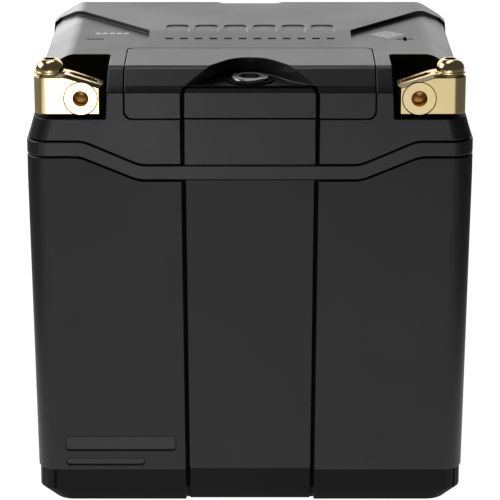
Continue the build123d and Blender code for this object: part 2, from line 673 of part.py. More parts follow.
def terminal_strap(foot_z, foot_y):
    """Copper strap from the stud back and down to a foot at the given height."""
    top = stud_underside()
    x0, x1 = STUD_X - STRAP_W / 2, STUD_X + STRAP_W / 2
    flat = block(x0, x1, depth(STUD_Y) - 7, STRAP_DROP_Y, top - STRAP_T, top)
    drop = block(x0, x1, STRAP_DROP_Y - STRAP_T, STRAP_DROP_Y, foot_z, top)
    foot = block(x0, x1, STRAP_DROP_Y - STRAP_T, foot_y, foot_z, foot_z + STRAP_T)
    return flat + drop + foot - disc(STUD_X, depth(STUD_Y), 100, 200, STUD_R + 0.2)


def stud_nut():
    top = stud_underside() - STRAP_T
    nut = extrude(Pos(STUD_X, depth(STUD_Y), top - 5) * RegularPolygon(7.2, 6), 5)
    return nut - disc(STUD_X, depth(STUD_Y), 100, 200, STUD_R + SCREW_FIT)


def on_side(side, shape):
    """The +X drawing itself, or its mirror image for the negative terminal."""
    return shape if side > 0 else mirror(shape, about=Plane.YZ)


# ---- cells, holders and plates ---------------------------------------------
def column_x(column):
    return (column - (CELL_COLUMNS - 1) / 2) * CELL_PITCH


def row_y(row):
    return (row - (CELL_ROWS - 1) / 2) * CELL_PITCH


def cell_places():
    return [(column_x(c), row_y(r)) for c in range(CELL_COLUMNS) for r in range(CELL_ROWS)]


def cell(x, y):
    body = disc(x, y, CELL_Z, CELL_TOP, CELL_R)
    return fillet(body.edges().group_by(Axis.Z)[0] + body.edges().group_by(Axis.Z)[-1], 1.0)


def cell_holder(z0, socket_z0, socket_z1):
    """Moulded plate with a round socket and a contact window for each cell."""
    plate = slab(HOLDER_X, HOLDER_Y, 6.0, z0, z0 + HOLDER_T)
    for x, y in cell_places():
        plate -= disc(x, y, socket_z0, socket_z1, SOCKET_R)
        plate -= disc(x, y, z0 - 1, z0 + HOLDER_T + 1, WINDOW_R)
    return plate


def upper_holder():
    plate = cell_holder(UPPER_Z, UPPER_Z - 1, CELL_TOP)
    for x, y in POST_PLACES:
        post = disc(x, y, CELL_TOP, BOARD_Z, POST_R)
        plate += post - disc(x, y, BOARD_Z - 8, BOARD_Z + 1, BOARD_SCREW_R)
    return plate


def link_plate(first, last, top):
    """Flat plate over the cells of columns first to last, with a contact button on every cell
    and a small tab at the back for the sense lead."""
    x0 = column_x(first) - 12
    x1 = column_x(last) + 12
    z = UPPER_PLATE_Z if top else LOWER_PLATE_Z
    plate = block(x0, x1, -31, 31, z, z + PLATE_T)
    mid = (x0 + x1) / 2
    plate += block(mid - TAB_SIZE / 2, mid + TAB_SIZE / 2, 30, HOLDER_Y + 2, z, z + PLATE_T)
    button_z = (CELL_TOP, z) if top else (z + PLATE_T, CELL_Z)
    for column in range(first, last + 1):
        for row in range(CELL_ROWS):
            plate += disc(column_x(column), row_y(row), *button_z, BUTTON_R)
    for x, y in POST_PLACES:
        if top:
            plate -= disc(x, y, z - 1, z + PLATE_T + 1, POST_R + 0.3)
    return plate


# (node, first column, last column, on top): the series path from the negative to the positive end
PLATES = (
    ("busbar_negative", 0, 0, True),
    ("series_link_1", 0, 1, False),
    ("series_link_2", 1, 2, True),
    ("series_link_3", 2, 3, False),
    ("busbar_positive", 3, 3, True),
)


# ---- management board ------------------------------------------------------
def bms_board():
    board = block(*BOARD_X, *BOARD_Y, BOARD_Z, BOARD_Z + BOARD_T)
    for x, y in POST_PLACES:
        board -= disc(x, y, BOARD_Z - 1, BOARD_Z + BOARD_T + 1, BOARD_SCREW_R + 0.2)
    return board


def board_screws():
    """Four small screws that hold the board to the posts of the upper cell holder."""
    top = BOARD_Z + BOARD_T
    screws = []
    for x, y in POST_PLACES:
        screws.append(disc(x, y, top - 8, top, BOARD_SCREW_R - 0.05) + disc(x, y, top, top + 2, 2.8))
    return Compound(children=screws)


def chip_x(index):
    return (index - (CHIP_COUNT - 1) / 2) * CHIP_PITCH


def mosfets():
    """Row of power transistors that switch the pack's negative side."""
    top = BOARD_Z + BOARD_T
    chips = []
    for index in range(CHIP_COUNT):
        x = chip_x(index)
        chips.append(block(x - CHIP[0] / 2, x + CHIP[0] / 2, -CHIP[1] / 2, CHIP[1] / 2, top, top + CHIP[2]))
    return Compound(children=chips)


def heat_spreader():
    z = BOARD_Z + BOARD_T + CHIP[2]
    return block(-27, 27, -8, 8, z, z + SPREADER_T)


def negative_pillar():
    """Copper pillar from the negative busbar up to the board."""
    return disc(column_x(0), 8, UPPER_PLATE_Z + PLATE_T, BOARD_Z, 5)


def sense_plug():
    z = BOARD_Z + BOARD_T
    return block(*PLUG_X, *PLUG_Y, z, z + PLUG_H)


def sense_leads():
    """Thin leads from the sense plug over the back of the pack to each plate's tab."""
    z_plug = BOARD_Z + BOARD_T + PLUG_H / 2
    leads = []
    for index, (_, first, last, top) in enumerate(PLATES):
        x_tab = (column_x(first) + column_x(last)) / 2
        x_plug = (index - (len(PLATES) - 1) / 2) * LEAD_PITCH
        z_tab = (UPPER_PLATE_Z if top else LOWER_PLATE_Z) + PLATE_T / 2
        route = [(x_plug, PLUG_Y[1], z_plug), (x_plug, LEAD_RUN_Y, z_plug)]
        if abs(x_tab - x_plug) > 1:
            route.append((x_tab, LEAD_RUN_Y, z_plug - 8))
        route += [(x_tab, LEAD_RUN_Y, z_tab), (x_tab, HOLDER_Y + 2, z_tab)]
        path = FilletPolyline(*route, radius=LEAD_BEND)
        section = Plane(origin=route[0], z_dir=(0, 1, 0)) * Circle(LEAD_R)
        leads.append(sweep(section, path=path))
    return Compound(children=leads)


# ---- foam that holds the pack still in the case --------------------------------
def foam_pads():
    low = PACK_Z - PLATE_T - FOAM_GAP
    high = UPPER_PLATE_Z
    inner_x = HOLDER_X + FOAM_GAP
    inner_y = HOLDER_Y + FOAM_GAP
    outer_x = CAVITY_X - FOAM_GAP
    outer_y = CAVITY_Y - FOAM_GAP
    spreader_top = BOARD_Z + BOARD_T + CHIP[2] + SPREADER_T
    return {
        "foam_base_pad": slab(outer_x - 1, outer_y - 1, 4, FOAM_FOOT_Z, low)
        + slab(outer_x - 4, outer_y - 4, 3, FLOOR_Z, FOAM_FOOT_Z),
        "foam_left_pad": block(-outer_x, -inner_x, -30, 30, PACK_Z, high),
        "foam_right_pad": block(inner_x, outer_x, -30, 30, PACK_Z, high),
        "foam_front_pad": block(-60, 60, -outer_y, -inner_y, PACK_Z, high),
        "foam_back_pad": block(-60, 60, WIRE_SPACE_Y, outer_y, PACK_Z, high),
        "foam_top_pad": block(-38, 38, -12, 24, spreader_top, LID_TOP - LID_WALL - TRIM_T - 1),
    }


def main():
    os.makedirs("parts", exist_ok=True)
    save("case_tub", case_tub())
    save("lid_cover", lid_cover())
    save("lid_seal", lid_seal())
    save("front_trim_plate", front_trim_plate())
    save("trim_screw_washer", trim_screw_washer())
    save("trim_plate_screw", trim_plate_screw())
    save("trim_screw_insert", trim_screw_insert())
    strap_feet = {-1: BOARD_Z + BOARD_T, 1: UPPER_PLATE_Z + PLATE_T}
    for side, word in ((-1, "negative"), (1, "positive")):
        save(f"terminal_{word}", on_side(side, terminal()))
        save(f"terminal_nut_{word}", on_side(side, terminal_nut()))
        save(f"terminal_washer_{word}", on_side(side, terminal_washer()))
        save(f"terminal_screw_{word}", on_side(side, terminal_screw()))
        save(f"terminal_seal_{word}", on_side(side, terminal_seal()))
        save(f"stud_nut_{word}", on_side(side, stud_nut()))
        save(f"terminal_strap_{word}", on_side(side, terminal_strap(strap_feet[side], -12)))
    for number, (x, y) in enumerate(cell_places(), start=1):
        save(f"cell_{number}", cell(x, y))
    save("cell_holder_lower", cell_holder(PACK_Z, CELL_Z, PACK_Z + HOLDER_T + 1))
    save("cell_holder_upper", upper_holder())
    for name, first, last, top in PLATES:
        save(name, link_plate(first, last, top))
    save("negative_pillar", negative_pillar())
    save("bms_board", bms_board())
    save("board_screws", board_screws())
    save("power_transistors", mosfets())
    save("heat_spreader", heat_spreader())
    save("sense_plug", sense_plug())
    save("sense_leads", sense_leads())
    for name, pad in foam_pads().items():
        save(name, pad)


main()
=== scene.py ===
import json
import math

import bmesh
import bpy
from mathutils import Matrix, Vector
from mathutils.bvhtree import BVHTree


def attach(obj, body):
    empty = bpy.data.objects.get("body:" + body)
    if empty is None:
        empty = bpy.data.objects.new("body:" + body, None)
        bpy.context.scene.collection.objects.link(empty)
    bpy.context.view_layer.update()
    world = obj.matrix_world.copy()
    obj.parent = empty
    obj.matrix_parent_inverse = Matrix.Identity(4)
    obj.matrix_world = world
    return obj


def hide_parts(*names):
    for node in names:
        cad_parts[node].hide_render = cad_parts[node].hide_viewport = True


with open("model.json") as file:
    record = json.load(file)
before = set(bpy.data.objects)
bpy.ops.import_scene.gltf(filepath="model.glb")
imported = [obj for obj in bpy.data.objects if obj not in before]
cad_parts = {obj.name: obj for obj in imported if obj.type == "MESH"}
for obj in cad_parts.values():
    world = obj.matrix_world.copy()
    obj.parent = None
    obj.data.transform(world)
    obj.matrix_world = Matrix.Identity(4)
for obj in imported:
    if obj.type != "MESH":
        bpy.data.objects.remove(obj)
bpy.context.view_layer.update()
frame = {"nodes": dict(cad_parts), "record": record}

MM = 0.001
nodes = frame["nodes"]
slots = {part["node"]: part["material_slot"] for part in frame["record"]["subparts"]}

# ---- places on the battery, in mm ----------------------------------------------
# A pair is a lower and an upper limit, unless its comment says otherwise.
HALF_Y = 63.0
DRAFT = 1.4                       # how far the walls lean in from the belt to the step above the foot
FOOT_BEVEL_UP = 6.5
BASE_STEP_Z = 14.6
FOOT_CORNER = (70.0, 50.0)        # the rounded corners lie beyond this |x| and |y|
BELT_Z, BELT_DIP_Z = 139.7, 130.8                # the groove under the belt, at the sides and in the middle
BELT_BEND_OUT, BELT_BEND_IN = 63.0, 41.4         # |x| between which it dips
FRONT_BARS_X, FRONT_BARS_Z = (-71.0, -27.0), (16.0, 29.0)
FRONT_BARS_DEPTH = (0.2, 0.6)     # the floors of the bars lie this far inside the wall
LID_TOP = 172.2
LID_EDGE = 172.0                  # just under the flat top
POLARITY_X, POLARITY_Y = (56.0, 64.0), (-14.0, -5.0)       # |x| and y of the sunk minus and plus
POLARITY_Z = 170.9                # they lie above this
POCKET_X, POCKET_Y = 51.5, -35.0  # the pockets lie outside this |x| and in front of this y
POCKET_FLOOR = (153.7, 154.0)
NOTCH_X, NOTCH_Y = 24.4, -40.5    # the notch lies inside this |x| and in front of this y
NOTCH_FLOOR = (165.0, 166.2)
BORE_X, BORE_Z = 62.4, 161.1      # axis of a terminal's nut and of the bore behind it, along Y
BORE_R, BORE_Y = 3.4, (-57.5, -51.5)             # its wall lies within this radius
SEAT_R, SEAT_Y = 6.6, -56.5       # the nut's seat lies within this radius and in front of this y
NUT_RIM_R = 5.8                   # the nut's rim lies outside this radius
BLOCK_FRONT_Y = -59.0             # a block's front edges lie in front of this
SCREW_X, SCREW_Y = 73.9, -55.4    # axis of a terminal's screw, upright
SOCKET_R, SOCKET_Z = 2.4, (172.5, 174.95)        # its key socket lies within this radius

# limits for a face's normal
UPRIGHT = 0.3                     # |z| of a wall's
AROUND_Y = 0.5                    # |y| of a wall's round an axis along Y
DOWNWARD = -0.3
RAMP_Y, RAMP_Z = (-0.15, -0.03), 0.98
CHAMFER_Y, CHAMFER_Z = (-0.95, -0.4), 0.3


# ---- shared shader groups --------------------------------------------------
def group_tree(name, inputs, outputs):
    """Empty shader node group with the named numbers going in and coming out."""
    tree = bpy.data.node_groups.new(name, "ShaderNodeTree")
    for label in inputs:
        tree.interface.new_socket(label, in_out="INPUT", socket_type="NodeSocketFloat")
    for label in outputs:
        tree.interface.new_socket(label, in_out="OUTPUT", socket_type="NodeSocketFloat")
    return tree, tree.nodes.new("NodeGroupInput"), tree.nodes.new("NodeGroupOutput")


def math_node(tree, operation, first, second=0.0):
    """Math node whose inputs are sockets or plain numbers; gives its output socket."""
    node = tree.nodes.new("ShaderNodeMath")
    node.operation = operation
    for socket, value in zip(node.inputs, (first, second)):
        if isinstance(value, (int, float)):
            socket.default_value = value
        else:
            tree.links.new(value, socket)
    return node.outputs[0]


def object_place(tree):
    """Place on the piece in metres, as a socket."""
    return tree.nodes.new("ShaderNodeTexCoord").outputs["Object"]


def noise(tree, vector, scale, detail, roughness):
    node = tree.nodes.new("ShaderNodeTexNoise")
    node.inputs["Detail"].default_value = detail
    node.inputs["Roughness"].default_value = roughness
    tree.links.new(vector, node.inputs["Vector"])
    tree.links.new(scale, node.inputs["Scale"])
    return node.outputs["Fac"]


def moulded_grain_group():
    """Spark-eroded mould texture: a fine pebble with slow cloudy changes in gloss."""
    tree, given, result = group_tree(
        "moulded_grain", ["Grain per metre", "Cloud per metre"], ["Height", "Gloss", "Tone"])
    place = object_place(tree)
    fine = noise(tree, place, given.outputs["Grain per metre"], 3.0, 0.6)
    pebble = tree.nodes.new("ShaderNodeTexVoronoi")
    tree.links.new(place, pebble.inputs["Vector"])
    tree.links.new(given.outputs["Grain per metre"], pebble.inputs["Scale"])
    height = math_node(tree, "ADD", math_node(tree, "MULTIPLY", fine, 0.6),
                       math_node(tree, "MULTIPLY", pebble.outputs["Distance"], 0.5))
    cloud = noise(tree, place, given.outputs["Cloud per metre"], 4.0, 0.55)
    tree.links.new(height, result.inputs["Height"])
    tree.links.new(cloud, result.inputs["Gloss"])
    tree.links.new(fine, result.inputs["Tone"])
    return tree


def drawn_metal_group():
    """Fine polishing lines along X with a slow patchiness from handling."""
    tree, given, result = group_tree(
        "drawn_metal", ["Lines per metre", "Patch per metre"], ["Height", "Gloss"])
    place = object_place(tree)
    stretch = tree.nodes.new("ShaderNodeMapping")
    stretch.inputs["Scale"].default_value = (0.04, 1.0, 1.0)
    tree.links.new(place, stretch.inputs["Vector"])
    lines = noise(tree, stretch.outputs["Vector"], given.outputs["Lines per metre"], 2.0, 0.5)
    patch = noise(tree, place, given.outputs["Patch per metre"], 3.0, 0.5)
    tree.links.new(lines, result.inputs["Height"])
    tree.links.new(patch, result.inputs["Gloss"])
    return tree


GRAIN = moulded_grain_group()
DRAWN = drawn_metal_group()


# ---- materials -------------------------------------------------------------
NOISE_LOW, NOISE_HIGH = 0.3, 0.7  # nearly all of a noise lies between these
GRAIN_PER_METRE = 1800.0
CLOUD_PER_METRE = 22.0
GRAIN_DEPTH = 0.06                # mm
DARK_GRAIN, LIGHT_GRAIN = 0.8, 1.2               # shares of the plastic's colour
GLOSSIER, DULLER = 0.04, 0.05     # how far the plastic's roughness goes below and above
LINES_PER_METRE = 9000.0
PATCH_PER_METRE = 120.0
LINE_DEPTH = 0.01                 # mm
DARK_LINES = 0.94                 # share of the metal's colour


def start_material(name):
    material = bpy.data.materials.new(name)
    material.use_nodes = True
    tree = material.node_tree
    return material, tree, tree.nodes["Principled BSDF"]


def use_group(tree, group, values):
    node = tree.nodes.new("ShaderNodeGroup")
    node.node_tree = group
    for label, value in values.items():
        node.inputs[label].default_value = value
    return node


def by_noise(tree, source, low, high):
    """Value between low and high that follows a noise."""
    node = tree.nodes.new("ShaderNodeMapRange")
    node.inputs["From Min"].default_value = NOISE_LOW
    node.inputs["From Max"].default_value = NOISE_HIGH
    node.inputs["To Min"].default_value = low
    node.inputs["To Max"].default_value = high
    tree.links.new(source, node.inputs["Value"])
    return node.outputs["Result"]


def two_tone(tree, factor, dark, light):
    """Colour between dark and light by a mask."""
    node = tree.nodes.new("ShaderNodeMix")
    node.data_type = "RGBA"
    tree.links.new(factor, node.inputs["Factor"])
    node.inputs["A"].default_value = (*dark, 1)
    node.inputs["B"].default_value = (*light, 1)
    return node.outputs["Result"]


def bump(tree, shader, height, strength, depth):
    node = tree.nodes.new("ShaderNodeBump")
    node.inputs["Strength"].default_value = strength
    node.inputs["Distance"].default_value = depth * MM
    tree.links.new(height, node.inputs["Height"])
    tree.links.new(node.outputs["Normal"], shader.inputs["Normal"])


def shaded(colour, share):
    return tuple(c * share for c in colour)


def moulded_plastic(name, colour, roughness, grain=GRAIN_PER_METRE, relief=0.25, specular=0.5):
    """Satin moulded plastic with an eroded grain."""
    material, tree, shader = start_material(name)
    shader.inputs["Specular IOR Level"].default_value = specular
    texture = use_group(tree, GRAIN, {"Grain per metre": grain, "Cloud per metre": CLOUD_PER_METRE})
    tone = by_noise(tree, texture.outputs["Tone"], 0.0, 1.0)
    tint = two_tone(tree, tone, shaded(colour, DARK_GRAIN), shaded(colour, LIGHT_GRAIN))
    tree.links.new(tint, shader.inputs["Base Color"])
    gloss = by_noise(tree, texture.outputs["Gloss"], roughness - GLOSSIER, roughness + DULLER)
    tree.links.new(gloss, shader.inputs["Roughness"])
    bump(tree, shader, texture.outputs["Height"], relief, GRAIN_DEPTH)
    return material


def worked_metal(name, colour, roughness, relief=0.08, spread=0.05):
    """Machined metal with fine polishing lines; its roughness rises by the spread in patches."""
    material, tree, shader = start_material(name)
    shader.inputs["Metallic"].default_value = 1.0
    texture = use_group(tree, DRAWN, {"Lines per metre": LINES_PER_METRE, "Patch per metre": PATCH_PER_METRE})
    tone = by_noise(tree, texture.outputs["Gloss"], 0.0, 1.0)
    tint = two_tone(tree, tone, shaded(colour, DARK_LINES), colour)
    tree.links.new(tint, shader.inputs["Base Color"])
    gloss = by_noise(tree, texture.outputs["Gloss"], roughness, roughness + spread)
    tree.links.new(gloss, shader.inputs["Roughness"])
    bump(tree, shader, texture.outputs["Height"], relief, LINE_DEPTH)
    return material


LID_BLACK = (0.006, 0.006, 0.0062)
MATERIALS = {
    "case_plastic": moulded_plastic("case_plastic", (0.0045, 0.0045, 0.0047), 0.42, specular=0.44),
    "lid_plastic": moulded_plastic("lid_plastic", LID_BLACK, 0.33, specular=0.53),
    "trim_plastic": moulded_plastic("trim_plastic", LID_BLACK, 0.33, specular=0.53),
    "inner_plastic": moulded_plastic("inner_plastic", (0.05, 0.05, 0.055), 0.55),
    "plug_plastic": moulded_plastic("plug_plastic", (0.75, 0.72, 0.62), 0.45, relief=0.1),
    "brass": worked_metal("brass", (0.86, 0.68, 0.355), 0.13, relief=0.05, spread=0.03),
    "brass_hardware": worked_metal("brass_hardware", (0.88, 0.71, 0.38), 0.12, relief=0.05, spread=0.03),
    "copper": worked_metal("copper", (0.80, 0.38, 0.18), 0.28),
    "black_steel": worked_metal("black_steel", (0.3, 0.3, 0.31), 0.24),
    "bright_steel": worked_metal("bright_steel", (0.62, 0.62, 0.6), 0.3),
    "nickel_plate": worked_metal("nickel_plate", (0.66, 0.63, 0.56), 0.3),
    "spreader": worked_metal("spreader", (0.75, 0.75, 0.76), 0.35),
    "seal_rubber": moulded_plastic("seal_rubber", (0.012, 0.012, 0.012), 0.7, grain=900.0),
    "foam": moulded_plastic("foam", (0.03, 0.03, 0.033), 0.9, grain=700.0, relief=0.8),
    "cell_sleeve": moulded_plastic("cell_sleeve", (0.03, 0.12, 0.32), 0.3, relief=0.05),
    "board": moulded_plastic("board", (0.01, 0.09, 0.035), 0.35, relief=0.05),
    "chip_black": moulded_plastic("chip_black", (0.01, 0.01, 0.01), 0.6),
    "lead_sleeve": moulded_plastic("lead_sleeve", (0.4, 0.02, 0.015), 0.4, relief=0.05),
}

# finishes of single areas; all but the mark and the print are painted shade or light
# painted shade: darker, less glossy plastic on the foot band, for the shadowed floor it reflects
FOOT_SHADE_PLASTIC = moulded_plastic("foot_painted_shade", (0.002, 0.002, 0.0021), 0.45, specular=0.16)
# painted shade: near-black, almost unreflecting finish for grooves, gaps, the foot's bevel, nut seats and a
# washer
RECESS_SHADE = moulded_plastic("recess_painted_shade", (0.0012, 0.0012, 0.0012), 0.6, specular=0.05)
# painted shade: darker, duller plastic for the terminal pockets and the screw notch
POCKET_SHADE_PLASTIC = moulded_plastic("pocket_painted_shade", (0.002, 0.0019, 0.0019), 0.5, specular=0.12)
# painted sheen: the lid's plastic made more reflective, so the ramp hides the darker tone its slope takes
RAMP_SHEEN_PLASTIC = moulded_plastic("ramp_painted_sheen", LID_BLACK, 0.33, specular=0.8)
MARK_PLASTIC = moulded_plastic("mark_plastic", (0.02, 0.02, 0.0205), 0.42)
# painted shade: dark brown brass for the screws' key sockets
SOCKET_SHADE_BRASS = worked_metal("socket_painted_shade", (0.09, 0.04, 0.018), 0.4)
# painted shade: darkened brass on the blocks' front chamfers, for the dark they reflect
CHAMFER_SHADE_BRASS = worked_metal("chamfer_painted_shade", (0.3, 0.25, 0.16), 0.2)
# painted shade: a deeper, darker gold for the bore behind each nut
BORE_SHADE_BRASS = worked_metal("bore_painted_shade", (0.7, 0.42, 0.16), 0.3)
PRINT_WHITE = moulded_plastic("print_white", (0.85, 0.85, 0.85), 0.5, grain=2600.0, relief=0.1)

# every node takes its slot's finish
for node_name, slot_name in slots.items():
    node_mesh = nodes[node_name].data
    node_mesh.materials.clear()
    node_mesh.materials.append(MATERIALS[slot_name])


# ---- camera, light and floor, in metres ----------------------------------------
CAMERA_TILT = 17.12               # degrees downwards
CAMERA_DISTANCE = 0.95735
CAMERA_AIM = Vector((0, -0.063, 0.10349))
SENSOR_WIDTH, FOCAL_LENGTH = 36.0, 184.3344      # mm

FLOOR_SIDE = 6.0
FLOOR_GREY = 0.15
WORLD_GLOW = 0.055
LEAST_GLOW = 0.08
# each edge runs from where the glow sets in to where it is whole
LANE_EDGE = (0.27, 0.2)           # |x|
PATCH_CENTRE, PATCH_EDGE = (-0.2, -0.55, 0), (0.4, 0.24)
CARD_CENTRE, CARD_EDGE, CARD_GLOW = (-0.118, -0.73, 0), (0.13, 0.09), 3.0
# the fade grows to its share from the first x and y to the second
FADE_X, FADE_Y, FADE_SHARE = (0.0, 0.13), (-0.2, -0.55), 0.22


def add_camera():
    data = bpy.data.cameras.new("camera")
    data.sensor_width = SENSOR_WIDTH
    data.lens = FOCAL_LENGTH
    data.clip_end = 20.0
    camera = bpy.data.objects.new("camera", data)
    bpy.context.scene.collection.objects.link(camera)
    tilt = math.radians(CAMERA_TILT)
    camera.location = CAMERA_AIM + CAMERA_DISTANCE * Vector((0, -math.cos(tilt), math.sin(tilt)))
    camera.rotation_euler = (math.pi / 2 - tilt, 0, 0)
    bpy.context.scene.camera = camera


def add_area_light(name, place, aim, size, power):
    """Rectangular lamp at a place, turned to its aim; size in metres, power in watts."""
    data = bpy.data.lights.new(name, "AREA")
    data.shape = "RECTANGLE"
    data.size, data.size_y = size
    data.energy = power
    light = bpy.data.objects.new(name, data)
    bpy.context.scene.collection.objects.link(light)
    light.location = place
    light.rotation_euler = (Vector(aim) - Vector(place)).to_track_quat("-Z", "Y").to_euler()


def smooth_step(tree, value, start, end):
    """0 before start, 1 past end, eased between; start may lie above end."""
    node = tree.nodes.new("ShaderNodeMapRange")
    node.interpolation_type = "SMOOTHSTEP"
    node.inputs["From Min"].default_value = min(start, end)
    node.inputs["From Max"].default_value = max(start, end)
    node.inputs["To Min"].default_value = 0.0 if start < end else 1.0
    node.inputs["To Max"].default_value = 1.0 if start < end else 0.0
    tree.links.new(value, node.inputs["Value"])
    return node.outputs["Result"]


def round_spot(tree, place, centre, edge):
    """1 round a centre, eased to 0 between the two radii of its edge."""
    node = tree.nodes.new("ShaderNodeVectorMath")
    node.operation = "DISTANCE"
    tree.links.new(place, node.inputs[0])
    node.inputs[1].default_value = centre
    return smooth_step(tree, node.outputs["Value"], *edge)


def floor_light_group():
    """Glow of the floor: a bright lane under the battery, a bright patch at the front left and a
    small brighter card in it; the right side fades a little to the front, and the rest is dim."""
    tree, _, result = group_tree("floor_light", [], ["Glow"])
    place = object_place(tree)
    split = tree.nodes.new("ShaderNodeSeparateXYZ")
    tree.links.new(place, split.inputs["Vector"])
    x, y = split.outputs["X"], split.outputs["Y"]
    lane = smooth_step(tree, math_node(tree, "ABSOLUTE", x), *LANE_EDGE)
    patch = round_spot(tree, place, PATCH_CENTRE, PATCH_EDGE)
    fade = math_node(tree, "MULTIPLY", smooth_step(tree, x, *FADE_X), smooth_step(tree, y, *FADE_Y))
    remaining = math_node(tree, "SUBTRACT", 1.0, math_node(tree, "MULTIPLY", fade, FADE_SHARE))
    glow = math_node(tree, "MULTIPLY", math_node(tree, "MAXIMUM", lane, patch), remaining)
    card = round_spot(tree, place, CARD_CENTRE, CARD_EDGE)
    glow = math_node(tree, "ADD", glow, math_node(tree, "MULTIPLY", card, CARD_GLOW))
    tree.links.new(math_node(tree, "MAXIMUM", glow, LEAST_GLOW), result.inputs["Glow"])
    return tree


def add_floor():
    bm = bmesh.new()
    bmesh.ops.create_grid(bm, x_segments=2, y_segments=2, size=FLOOR_SIDE / 2)
    mesh = bpy.data.meshes.new("floor")
    bm.to_mesh(mesh)
    bm.free()
    floor = bpy.data.objects.new("floor", mesh)
    bpy.context.scene.collection.objects.link(floor)
    material, tree, shader = start_material("floor")
    shader.inputs["Base Color"].default_value = (FLOOR_GREY, FLOOR_GREY, FLOOR_GREY, 1)
    shader.inputs["Roughness"].default_value = 0.9
    shader.inputs["Specular IOR Level"].default_value = 0.0
    light = use_group(tree, floor_light_group(), {})
    tree.links.new(light.outputs["Glow"], shader.inputs["Emission Color"])
    shader.inputs["Emission Strength"].default_value = 1.0
    mesh.materials.append(material)


def add_world():
    world = bpy.data.worlds.new("studio")
    world.use_nodes = True
    background = world.node_tree.nodes["Background"]
    background.inputs["Color"].default_value = (1, 1, 1, 1)
    background.inputs["Strength"].default_value = WORLD_GLOW
    bpy.context.scene.world = world


# ---- finished copies of CAD nodes ----------------------------------------------
MERGE_DISTANCE = 0.004            # mm
SLIVER_WIDTH = 0.03               # mm
FLAT_ANGLE = 0.6                  # degrees
LEVEL_TOLERANCE = 0.02            # mm
ARC_GAP = 0.56                    # mm; the two arcs' points lie within it
EDGE_SEGMENTS = 2


def weld_corner_arcs(bm, height):
    """Makes one of the two nearly equal arcs at this height round each corner of the tub."""
    corners = [v for v in bm.verts if abs(v.co.z / MM - height) < LEVEL_TOLERANCE
               and abs(v.co.x / MM) > FOOT_CORNER[0] and abs(v.co.y / MM) > FOOT_CORNER[1]]
    bmesh.ops.remove_doubles(bm, verts=corners, dist=ARC_GAP * MM)


def merged_copy(node, name, body, weld_height=None):
    """A clean copy of a CAD node that stands for it: loose triangles merged, slivers gone and flat
    areas made whole."""
    bm = bmesh.new()
    bm.from_mesh(nodes[node].data)
    bmesh.ops.remove_doubles(bm, verts=bm.verts, dist=MERGE_DISTANCE * MM)
    bmesh.ops.dissolve_degenerate(bm, dist=MERGE_DISTANCE * MM, edges=bm.edges)
    bmesh.ops.dissolve_limit(bm, angle_limit=math.radians(FLAT_ANGLE), verts=bm.verts, edges=bm.edges)
    longest_edges = ((face, max(face.edges, key=lambda e: e.calc_length())) for face in bm.faces)
    # each edge once and in the mesh's order, so that every run gives the same mesh
    slivers = dict.fromkeys(edge for face, edge in longest_edges
                            if face.calc_area() < SLIVER_WIDTH * MM * edge.calc_length())
    bmesh.ops.dissolve_edges(bm, edges=list(slivers), use_verts=False)
    if weld_height is not None:
        weld_corner_arcs(bm, weld_height)
    mesh = bpy.data.meshes.new(name)
    bm.to_mesh(mesh)
    bm.free()
    mesh.materials.clear()
    mesh.materials.append(MATERIALS[slots[node]])
    piece = bpy.data.objects.new(name, mesh)
    bpy.context.scene.collection.objects.link(piece)
    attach(piece, body)
    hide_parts(node)
    return piece


def weigh_edges(mesh, angle, skip):
    """Marks the edges sharper than the angle for rounding, but for those that skip picks by their middle."""
    bm = bmesh.new()
    bm.from_mesh(mesh)
    chosen = [edge.calc_face_angle(0.0) > math.radians(angle)
              and not skip((edge.verts[0].co + edge.verts[1].co) / 2 / MM) for edge in bm.edges]
    bm.free()
    weights = mesh.attributes.new("bevel_weight_edge", "FLOAT", "EDGE")
    weights.data.foreach_set("value", [float(weight) for weight in chosen])


def soften(piece, width, angle=28, skip=None):
    """Rounds the edges of a piece that are sharper than the angle and shades it smooth up to them."""
    piece.data.shade_smooth()
    piece.data.set_sharp_from_angle(angle=math.radians(angle))
    bevel = piece.modifiers.new("edge", "BEVEL")
    bevel.width = width * MM
    bevel.segments = EDGE_SEGMENTS
    bevel.limit_method = "WEIGHT" if skip else "ANGLE"
    bevel.angle_limit = math.radians(angle)
    if skip:
        weigh_edges(piece.data, angle, skip)
    bevel.miter_outer = "MITER_ARC"
    bevel.use_clamp_overlap = False
    weighted = piece.modifiers.new("shading", "WEIGHTED_NORMAL")
    weighted.mode = "FACE_AREA_WITH_ANGLE"
    weighted.weight = 100
    weighted.keep_sharp = True


def finish_faces(piece, material, chosen):
    """Gives the faces picked by a test a finish of their own."""
    piece.data.materials.append(material)
    slot = len(piece.data.materials) - 1
    for face in piece.data.polygons:
        if chosen(face):
            face.material_index = slot


# ---- painted shade in the grooves and gaps of the moulded parts ----------------
GROOVE_WIDTH = 2.6                # mm
GROOVE_REACH = 1.75               # mm
RAY_LIFT = 0.02                   # mm
RAYS = 8


def outer_surfaces(pieces):
    """Search tree over the outer pieces together, so that gaps between two pieces are seen too."""
    points, faces = [], []
    for piece in pieces:
        start = len(points)
        points += [v.co.copy() for v in piece.data.vertices]
        faces += [[start + i for i in face.vertices] for face in piece.data.polygons]
    return BVHTree.FromPolygons(points, faces)


def closed_in(face, tree):
    """True for a wall with another wall close before it, and for the floor of a narrow groove."""
    reach = GROOVE_REACH * MM
    start = face.center + face.normal * RAY_LIFT * MM
    if tree.ray_cast(start, face.normal, reach)[0]:
        return True
    side = face.normal.orthogonal().normalized()
    other = face.normal.cross(side)
    hits = 0
    for step in range(RAYS):
        turn = 2 * math.pi * step / RAYS
        slant = (face.normal + side * math.cos(turn) + other * math.sin(turn)).normalized()
        hits += tree.ray_cast(start, slant, reach)[0] is not None
    return hits >= RAYS / 2


